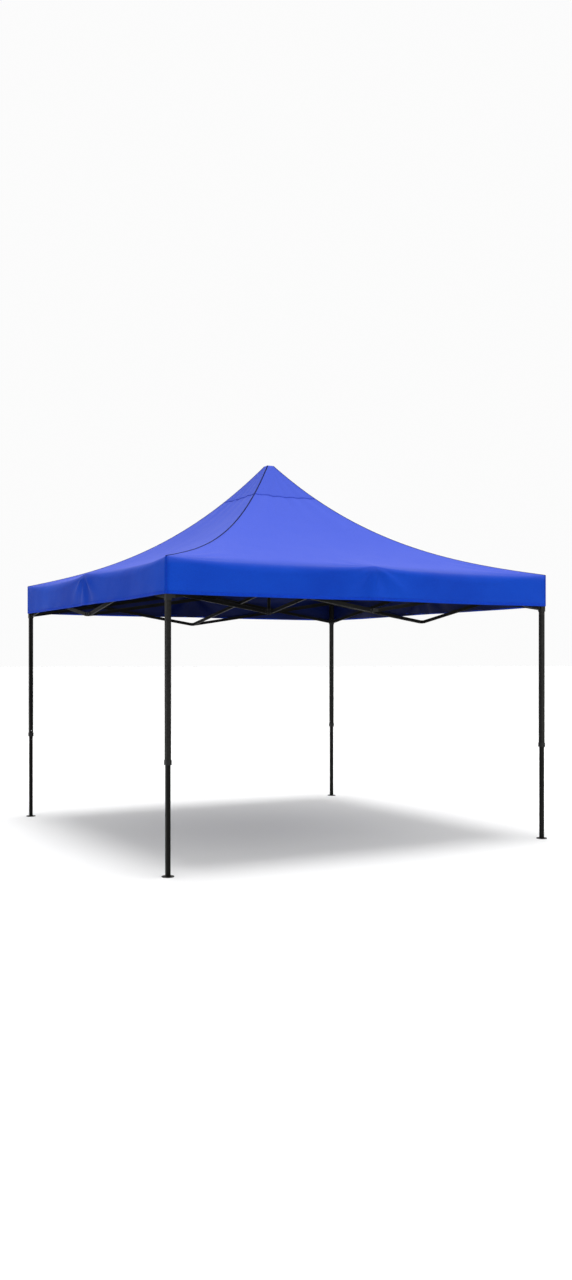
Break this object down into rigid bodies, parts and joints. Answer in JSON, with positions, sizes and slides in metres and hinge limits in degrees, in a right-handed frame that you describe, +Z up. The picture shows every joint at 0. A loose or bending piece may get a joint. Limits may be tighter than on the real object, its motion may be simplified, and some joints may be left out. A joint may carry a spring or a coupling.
{
  "type": "pop up gazebo",
  "caption": "Square pop-up gazebo: a peaked fabric canopy with a valance on a folding scissor frame with telescopic legs and a centre mast.",
  "frame": {"origin": "on the ground under the mast, at the centre of the four feet", "axes": "+Z up; the sides face -X, +X, -Y and +Y; -Y is the front"},
  "size_m": [3.016, 3.016, 2.818],
  "materials": {
    "frame_steel": "semi-gloss powder coat",
    "black_nylon": "matte moulded",
    "bright_steel": "zinc plated",
    "blue_polyester": "coated woven polyester"
  },
  "bodies": {
    "hub_upper": {"hub_upper": "black_nylon", "canopy": "blue_polyester"},
    "front_inner_down_bar": {"front_inner_down_bar": "frame_steel"},
    "front_inner_up_bar": {"front_inner_up_bar": "frame_steel"},
    "front_middle_joint_low": {"front_middle_joint_low": "black_nylon"},
    "front_middle_joint_high": {"front_middle_joint_high": "black_nylon"},
    "mast": {"mast": "frame_steel", "hub_lower": "black_nylon"},
    "front_right_down_bar": {"front_right_down_bar": "frame_steel"},
    "front_right_up_bar": {"front_right_up_bar": "frame_steel"},
    "leg_front_right": {"outer_leg_front_right": "frame_steel", "corner_bracket_front_right": "black_nylon", "leg_collar_front_right": "black_nylon"},
    "slider_front_right": {"leg_slider_front_right": "black_nylon"},
    "inner_leg_front_right": {"inner_leg_front_right": "frame_steel"},
    "snap_button_front_right": {"snap_button_front_right": "bright_steel"},
    "front_left_down_bar": {"front_left_down_bar": "frame_steel"},
    "front_left_up_bar": {"front_left_up_bar": "frame_steel"},
    "right_inner_down_bar": {"right_inner_down_bar": "frame_steel"},
    "right_inner_up_bar": {"right_inner_up_bar": "frame_steel"},
    "right_middle_joint_low": {"right_middle_joint_low": "black_nylon"},
    "right_middle_joint_high": {"right_middle_joint_high": "black_nylon"},
    "right_right_down_bar": {"right_right_down_bar": "frame_steel"},
    "right_right_up_bar": {"right_right_up_bar": "frame_steel"},
    "leg_back_right": {"outer_leg_back_right": "frame_steel", "corner_bracket_back_right": "black_nylon", "leg_collar_back_right": "black_nylon"},
    "slider_back_right": {"leg_slider_back_right": "black_nylon"},
    "inner_leg_back_right": {"inner_leg_back_right": "frame_steel"},
    "snap_button_back_right": {"snap_button_back_right": "bright_steel"},
    "right_left_down_bar": {"right_left_down_bar": "frame_steel"},
    "right_left_up_bar": {"right_left_up_bar": "frame_steel"},
    "back_inner_down_bar": {"back_inner_down_bar": "frame_steel"},
    "back_inner_up_bar": {"back_inner_up_bar": "frame_steel"},
    "back_middle_joint_low": {"back_middle_joint_low": "black_nylon"},
    "back_middle_joint_high": {"back_middle_joint_high": "black_nylon"},
    "back_right_down_bar": {"back_right_down_bar": "frame_steel"},
    "back_right_up_bar": {"back_right_up_bar": "frame_steel"},
    "leg_back_left": {"outer_leg_back_left": "frame_steel", "corner_bracket_back_left": "black_nylon", "leg_collar_back_left": "black_nylon"},
    "slider_back_left": {"leg_slider_back_left": "black_nylon"},
    "inner_leg_back_left": {"inner_leg_back_left": "frame_steel"},
    "snap_button_back_left": {"snap_button_back_left": "bright_steel"},
    "back_left_down_bar": {"back_left_down_bar": "frame_steel"},
    "back_left_up_bar": {"back_left_up_bar": "frame_steel"},
    "left_inner_down_bar": {"left_inner_down_bar": "frame_steel"},
    "left_inner_up_bar": {"left_inner_up_bar": "frame_steel"},
    "left_middle_joint_low": {"left_middle_joint_low": "black_nylon"},
    "left_middle_joint_high": {"left_middle_joint_high": "black_nylon"},
    "left_right_down_bar": {"left_right_down_bar": "frame_steel"},
    "left_right_up_bar": {"left_right_up_bar": "frame_steel"},
    "leg_front_left": {"outer_leg_front_left": "frame_steel", "corner_bracket_front_left": "black_nylon", "leg_collar_front_left": "black_nylon"},
    "slider_front_left": {"leg_slider_front_left": "black_nylon"},
    "inner_leg_front_left": {"inner_leg_front_left": "frame_steel"},
    "snap_button_front_left": {"snap_button_front_left": "bright_steel"},
    "left_left_down_bar": {"left_left_down_bar": "frame_steel"},
    "left_left_up_bar": {"left_left_up_bar": "frame_steel"}
  },
  "joints": [
    {"name": "fold", "type": "hinge", "parent": "hub_upper", "child": "front_inner_down_bar", "pos_m": [0, -0.038, 1.85], "axis": [1, 0, 0], "range_deg": [0, 77], "deforming": ["canopy"]},
    {"name": "front_inner_crossing", "type": "hinge", "parent": "front_inner_down_bar", "child": "front_inner_up_bar", "pos_m": [0, -0.57994, 1.765], "axis": [1, 0, 0], "range_deg": [-154, 0]},
    {"name": "front_middle_joint_low_turn", "type": "hinge", "parent": "front_inner_down_bar", "child": "front_middle_joint_low", "pos_m": [0, -1.442, 1.62979], "axis": [1, 0, 0], "range_deg": [-77, 0]},
    {"name": "front_middle_joint_high_turn", "type": "hinge", "parent": "front_inner_up_bar", "child": "front_middle_joint_high", "pos_m": [0, -1.442, 1.90021], "axis": [1, 0, 0], "range_deg": [0, 77]},
    {"name": "mast_turn", "type": "hinge", "parent": "front_inner_up_bar", "child": "mast", "pos_m": [0, -0.038, 1.68], "axis": [1, 0, 0], "range_deg": [0, 77]},
    {"name": "front_right_down_bar_turn", "type": "hinge", "parent": "front_middle_joint_low", "child": "front_right_down_bar", "pos_m": [0.028, -1.47, 1.62979], "axis": [0, -1, 0], "range_deg": [0, 77]},
    {"name": "front_right_crossing", "type": "hinge", "parent": "front_right_down_bar", "child": "front_right_up_bar", "pos_m": [0.89006, -1.47, 1.765], "axis": [0, -1, 0], "range_deg": [-154, 0]},
    {"name": "leg_front_right_turn", "type": "hinge", "parent": "front_right_down_bar", "child": "leg_front_right", "pos_m": [1.432, -1.47, 1.85], "axis": [0, -1, 0], "range_deg": [-77, 0]},
    {"name": "slider_front_right_turn", "type": "hinge", "parent": "front_right_up_bar", "child": "slider_front_right", "pos_m": [1.432, -1.47, 1.68], "axis": [0, -1, 0], "range_deg": [0, 77]},
    {"name": "leg_height_front_right", "type": "slide", "parent": "leg_front_right", "child": "inner_leg_front_right", "axis": [0, 0, 1], "range_m": [0, 0.6]},
    {"name": "snap_button_press_front_right", "type": "slide", "parent": "inner_leg_front_right", "child": "snap_button_front_right", "axis": [0, -1, 0], "range_m": [0, 0.0035], "stiffness_N_per_m": 2000, "springref_m": -0.002},
    {"name": "front_left_down_bar_turn", "type": "hinge", "parent": "front_middle_joint_low", "child": "front_left_down_bar", "pos_m": [-0.028, -1.47, 1.62979], "axis": [0, 1, 0], "range_deg": [0, 77]},
    {"name": "front_left_crossing", "type": "hinge", "parent": "front_left_down_bar", "child": "front_left_up_bar", "pos_m": [-0.89006, -1.47, 1.765], "axis": [0, 1, 0], "range_deg": [-154, 0]},
    {"name": "right_inner_down_bar_turn", "type": "hinge", "parent": "hub_upper", "child": "right_inner_down_bar", "pos_m": [0.038, 0, 1.85], "axis": [0, 1, 0], "range_deg": [0, 77]},
    {"name": "right_inner_crossing", "type": "hinge", "parent": "right_inner_down_bar", "child": "right_inner_up_bar", "pos_m": [0.57994, 0, 1.765], "axis": [0, 1, 0], "range_deg": [-154, 0]},
    {"name": "right_middle_joint_low_turn", "type": "hinge", "parent": "right_inner_down_bar", "child": "right_middle_joint_low", "pos_m": [1.442, 0, 1.62979], "axis": [0, 1, 0], "range_deg": [-77, 0]},
    {"name": "right_middle_joint_high_turn", "type": "hinge", "parent": "right_inner_up_bar", "child": "right_middle_joint_high", "pos_m": [1.442, 0, 1.90021], "axis": [0, 1, 0], "range_deg": [0, 77]},
    {"name": "right_right_down_bar_turn", "type": "hinge", "parent": "right_middle_joint_low", "child": "right_right_down_bar", "pos_m": [1.47, 0.028, 1.62979], "axis": [1, 0, 0], "range_deg": [0, 77]},
    {"name": "right_right_crossing", "type": "hinge", "parent": "right_right_down_bar", "child": "right_right_up_bar", "pos_m": [1.47, 0.89006, 1.765], "axis": [1, 0, 0], "range_deg": [-154, 0]},
    {"name": "leg_back_right_turn", "type": "hinge", "parent": "right_right_down_bar", "child": "leg_back_right", "pos_m": [1.47, 1.432, 1.85], "axis": [1, 0, 0], "range_deg": [-77, 0]},
    {"name": "slider_back_right_turn", "type": "hinge", "parent": "right_right_up_bar", "child": "slider_back_right", "pos_m": [1.47, 1.432, 1.68], "axis": [1, 0, 0], "range_deg": [0, 77]},
    {"name": "leg_height_back_right", "type": "slide", "parent": "leg_back_right", "child": "inner_leg_back_right", "axis": [0, 0, 1], "range_m": [0, 0.6]},
    {"name": "snap_button_press_back_right", "type": "slide", "parent": "inner_leg_back_right", "child": "snap_button_back_right", "axis": [1, 0, 0], "range_m": [0, 0.0035], "stiffness_N_per_m": 2000, "springref_m": -0.002},
    {"name": "right_left_down_bar_turn", "type": "hinge", "parent": "right_middle_joint_low", "child": "right_left_down_bar", "pos_m": [1.47, -0.028, 1.62979], "axis": [-1, 0, 0], "range_deg": [0, 77]},
    {"name": "right_left_crossing", "type": "hinge", "parent": "right_left_down_bar", "child": "right_left_up_bar", "pos_m": [1.47, -0.89006, 1.765], "axis": [-1, 0, 0], "range_deg": [-154, 0]},
    {"name": "back_inner_down_bar_turn", "type": "hinge", "parent": "hub_upper", "child": "back_inner_down_bar", "pos_m": [0, 0.038, 1.85], "axis": [-1, 0, 0], "range_deg": [0, 77]},
    {"name": "back_inner_crossing", "type": "hinge", "parent": "back_inner_down_bar", "child": "back_inner_up_bar", "pos_m": [0, 0.57994, 1.765], "axis": [-1, 0, 0], "range_deg": [-154, 0]},
    {"name": "back_middle_joint_low_turn", "type": "hinge", "parent": "back_inner_down_bar", "child": "back_middle_joint_low", "pos_m": [0, 1.442, 1.62979], "axis": [-1, 0, 0], "range_deg": [-77, 0]},
    {"name": "back_middle_joint_high_turn", "type": "hinge", "parent": "back_inner_up_bar", "child": "back_middle_joint_high", "pos_m": [0, 1.442, 1.90021], "axis": [-1, 0, 0], "range_deg": [0, 77]},
    {"name": "back_right_down_bar_turn", "type": "hinge", "parent": "back_middle_joint_low", "child": "back_right_down_bar", "pos_m": [-0.028, 1.47, 1.62979], "axis": [0, 1, 0], "range_deg": [0, 77]},
    {"name": "back_right_crossing", "type": "hinge", "parent": "back_right_down_bar", "child": "back_right_up_bar", "pos_m": [-0.89006, 1.47, 1.765], "axis": [0, 1, 0], "range_deg": [-154, 0]},
    {"name": "leg_back_left_turn", "type": "hinge", "parent": "back_right_down_bar", "child": "leg_back_left", "pos_m": [-1.432, 1.47, 1.85], "axis": [0, 1, 0], "range_deg": [-77, 0]},
    {"name": "slider_back_left_turn", "type": "hinge", "parent": "back_right_up_bar", "child": "slider_back_left", "pos_m": [-1.432, 1.47, 1.68], "axis": [0, 1, 0], "range_deg": [0, 77]},
    {"name": "leg_height_back_left", "type": "slide", "parent": "leg_back_left", "child": "inner_leg_back_left", "axis": [0, 0, 1], "range_m": [0, 0.6]},
    {"name": "snap_button_press_back_left", "type": "slide", "parent": "inner_leg_back_left", "child": "snap_button_back_left", "axis": [0, 1, 0], "range_m": [0, 0.0035], "stiffness_N_per_m": 2000, "springref_m": -0.002},
    {"name": "back_left_down_bar_turn", "type": "hinge", "parent": "back_middle_joint_low", "child": "back_left_down_bar", "pos_m": [0.028, 1.47, 1.62979], "axis": [0, -1, 0], "range_deg": [0, 77]},
    {"name": "back_left_crossing", "type": "hinge", "parent": "back_left_down_bar", "child": "back_left_up_bar", "pos_m": [0.89006, 1.47, 1.765], "axis": [0, -1, 0], "range_deg": [-154, 0]},
    {"name": "left_inner_down_bar_turn", "type": "hinge", "parent": "hub_upper", "child": "left_inner_down_bar", "pos_m": [-0.038, 0, 1.85], "axis": [0, -1, 0], "range_deg": [0, 77]},
    {"name": "left_inner_crossing", "type": "hinge", "parent": "left_inner_down_bar", "child": "left_inner_up_bar", "pos_m": [-0.57994, 0, 1.765], "axis": [0, -1, 0], "range_deg": [-154, 0]},
    {"name": "left_middle_joint_low_turn", "type": "hinge", "parent": "left_inner_down_bar", "child": "left_middle_joint_low", "pos_m": [-1.442, 0, 1.62979], "axis": [0, -1, 0], "range_deg": [-77, 0]},
    {"name": "left_middle_joint_high_turn", "type": "hinge", "parent": "left_inner_up_bar", "child": "left_middle_joint_high", "pos_m": [-1.442, 0, 1.90021], "axis": [0, -1, 0], "range_deg": [0, 77]},
    {"name": "left_right_down_bar_turn", "type": "hinge", "parent": "left_middle_joint_low", "child": "left_right_down_bar", "pos_m": [-1.47, -0.028, 1.62979], "axis": [-1, 0, 0], "range_deg": [0, 77]},
    {"name": "left_right_crossing", "type": "hinge", "parent": "left_right_down_bar", "child": "left_right_up_bar", "pos_m": [-1.47, -0.89006, 1.765], "axis": [-1, 0, 0], "range_deg": [-154, 0]},
    {"name": "leg_front_left_turn", "type": "hinge", "parent": "left_right_down_bar", "child": "leg_front_left", "pos_m": [-1.47, -1.432, 1.85], "axis": [-1, 0, 0], "range_deg": [-77, 0]},
    {"name": "slider_front_left_turn", "type": "hinge", "parent": "left_right_up_bar", "child": "slider_front_left", "pos_m": [-1.47, -1.432, 1.68], "axis": [-1, 0, 0], "range_deg": [0, 77]},
    {"name": "leg_height_front_left", "type": "slide", "parent": "leg_front_left", "child": "inner_leg_front_left", "axis": [0, 0, 1], "range_m": [0, 0.6]},
    {"name": "snap_button_press_front_left", "type": "slide", "parent": "inner_leg_front_left", "child": "snap_button_front_left", "axis": [-1, 0, 0], "range_m": [0, 0.0035], "stiffness_N_per_m": 2000, "springref_m": -0.002},
    {"name": "left_left_down_bar_turn", "type": "hinge", "parent": "left_middle_joint_low", "child": "left_left_down_bar", "pos_m": [-1.47, 0.028, 1.62979], "axis": [1, 0, 0], "range_deg": [0, 77]},
    {"name": "left_left_crossing", "type": "hinge", "parent": "left_left_down_bar", "child": "left_left_up_bar", "pos_m": [-1.47, 0.89006, 1.765], "axis": [1, 0, 0], "range_deg": [-154, 0]}
  ],
  "couplings": [
    {"joint": "front_inner_crossing", "follows": "fold", "ratio": -2},
    {"joint": "front_middle_joint_low_turn", "follows": "fold", "ratio": -1},
    {"joint": "front_middle_joint_high_turn", "follows": "fold", "ratio": 1},
    {"joint": "mast_turn", "follows": "fold", "ratio": 1},
    {"joint": "front_right_down_bar_turn", "follows": "fold", "ratio": 1},
    {"joint": "front_right_crossing", "follows": "fold", "ratio": -2},
    {"joint": "leg_front_right_turn", "follows": "fold", "ratio": -1},
    {"joint": "slider_front_right_turn", "follows": "fold", "ratio": 1},
    {"joint": "front_left_down_bar_turn", "follows": "fold", "ratio": 1},
    {"joint": "front_left_crossing", "follows": "fold", "ratio": -2},
    {"joint": "right_inner_down_bar_turn", "follows": "fold", "ratio": 1},
    {"joint": "right_inner_crossing", "follows": "fold", "ratio": -2},
    {"joint": "right_middle_joint_low_turn", "follows": "fold", "ratio": -1},
    {"joint": "right_middle_joint_high_turn", "follows": "fold", "ratio": 1},
    {"joint": "right_right_down_bar_turn", "follows": "fold", "ratio": 1},
    {"joint": "right_right_crossing", "follows": "fold", "ratio": -2},
    {"joint": "leg_back_right_turn", "follows": "fold", "ratio": -1},
    {"joint": "slider_back_right_turn", "follows": "fold", "ratio": 1},
    {"joint": "right_left_down_bar_turn", "follows": "fold", "ratio": 1},
    {"joint": "right_left_crossing", "follows": "fold", "ratio": -2},
    {"joint": "back_inner_down_bar_turn", "follows": "fold", "ratio": 1},
    {"joint": "back_inner_crossing", "follows": "fold", "ratio": -2},
    {"joint": "back_middle_joint_low_turn", "follows": "fold", "ratio": -1},
    {"joint": "back_middle_joint_high_turn", "follows": "fold", "ratio": 1},
    {"joint": "back_right_down_bar_turn", "follows": "fold", "ratio": 1},
    {"joint": "back_right_crossing", "follows": "fold", "ratio": -2},
    {"joint": "leg_back_left_turn", "follows": "fold", "ratio": -1},
    {"joint": "slider_back_left_turn", "follows": "fold", "ratio": 1},
    {"joint": "back_left_down_bar_turn", "follows": "fold", "ratio": 1},
    {"joint": "back_left_crossing", "follows": "fold", "ratio": -2},
    {"joint": "left_inner_down_bar_turn", "follows": "fold", "ratio": 1},
    {"joint": "left_inner_crossing", "follows": "fold", "ratio": -2},
    {"joint": "left_middle_joint_low_turn", "follows": "fold", "ratio": -1},
    {"joint": "left_middle_joint_high_turn", "follows": "fold", "ratio": 1},
    {"joint": "left_right_down_bar_turn", "follows": "fold", "ratio": 1},
    {"joint": "left_right_crossing", "follows": "fold", "ratio": -2},
    {"joint": "leg_front_left_turn", "follows": "fold", "ratio": -1},
    {"joint": "slider_front_left_turn", "follows": "fold", "ratio": 1},
    {"joint": "left_left_down_bar_turn", "follows": "fold", "ratio": 1},
    {"joint": "left_left_crossing", "follows": "fold", "ratio": -2}
  ]
}
